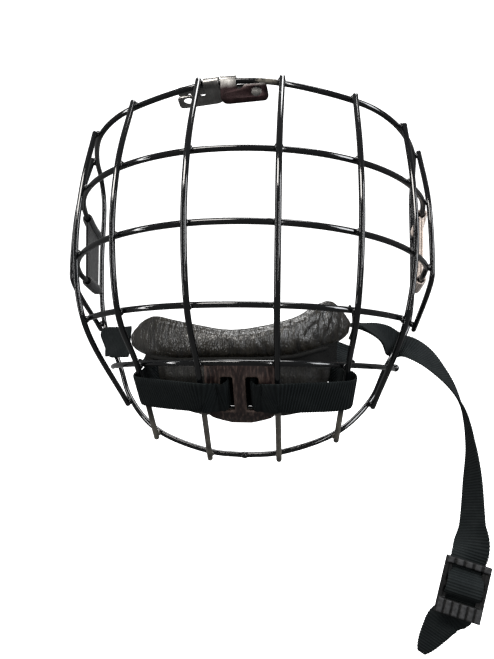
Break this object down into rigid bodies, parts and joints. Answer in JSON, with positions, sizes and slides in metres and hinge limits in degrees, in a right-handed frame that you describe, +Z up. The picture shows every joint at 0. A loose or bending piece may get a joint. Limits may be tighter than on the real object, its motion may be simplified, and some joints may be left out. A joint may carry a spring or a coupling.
{
  "type": "hockey helmet cage",
  "caption": "Welded wire face cage for an ice hockey helmet, with hooked brow clips, side loops, a padded chin cup and webbing straps.",
  "frame": {"origin": "centre line of the rim at the middle of its top, where the brow clips hold the cage to the helmet", "axes": "+Z up as worn, -Y out of the grille's front, +X the wearer's left"},
  "size_m": [0.2365, 0.1369, 0.2979],
  "materials": {
    "coated_wire": "gloss black dip coating over round steel rod",
    "clip_steel": "plated spring steel, slightly worn",
    "pale_band": "pale woven band",
    "grey_band": "dark grey woven band",
    "pad_vinyl": "soft grained black-grey vinyl with fine creases",
    "cup_vinyl": "dull olive-grey vinyl",
    "brown_leather": "worn red-brown black vinyl",
    "liner_felt": "black felt",
    "webbing": "black woven polypropylene webbing",
    "moulded_plastic": "black moulded plastic, worn grey on its ribs"
  },
  "bodies": {
    "root": {"rim_wire": "coated_wire", "bar_brow": "coated_wire", "bar_eye": "coated_wire", "bar_mouth": "coated_wire", "bar_chin": "coated_wire", "upright_inner_left": "coated_wire", "upright_inner_right": "coated_wire", "upright_middle_left": "coated_wire", "upright_middle_right": "coated_wire", "upright_outer_left": "coated_wire", "upright_outer_right": "coated_wire", "side_guard_left": "coated_wire", "side_guard_right": "coated_wire", "side_loop_left": "pale_band", "side_loop_right": "grey_band", "chin_pad": "pad_vinyl", "cup_shell": "cup_vinyl", "cup_panel": "brown_leather", "cup_liner": "liner_felt", "strap_lower_left": "webbing", "strap_lower_right": "webbing", "strap_upper_right": "webbing", "strap_long": "webbing", "strap_slide": "moulded_plastic"},
    "clip_left": {"brow_clip_left": "clip_steel"},
    "clip_right": {"brow_clip_right": "clip_steel"}
  },
  "joints": [
    {"name": "clip_left_swing", "type": "hinge", "parent": "root", "child": "clip_left", "pos_m": [-0.00588, 0, -0.00013], "axis": [0.9989, -0.0121, 0.0455], "range_deg": [-90, 95]},
    {"name": "clip_right_swing", "type": "hinge", "parent": "root", "child": "clip_right", "pos_m": [-0.01498, 0.00049, -0.00074], "axis": [0.9908, -0.1099, 0.0786], "range_deg": [-92, 10]}
  ]
}
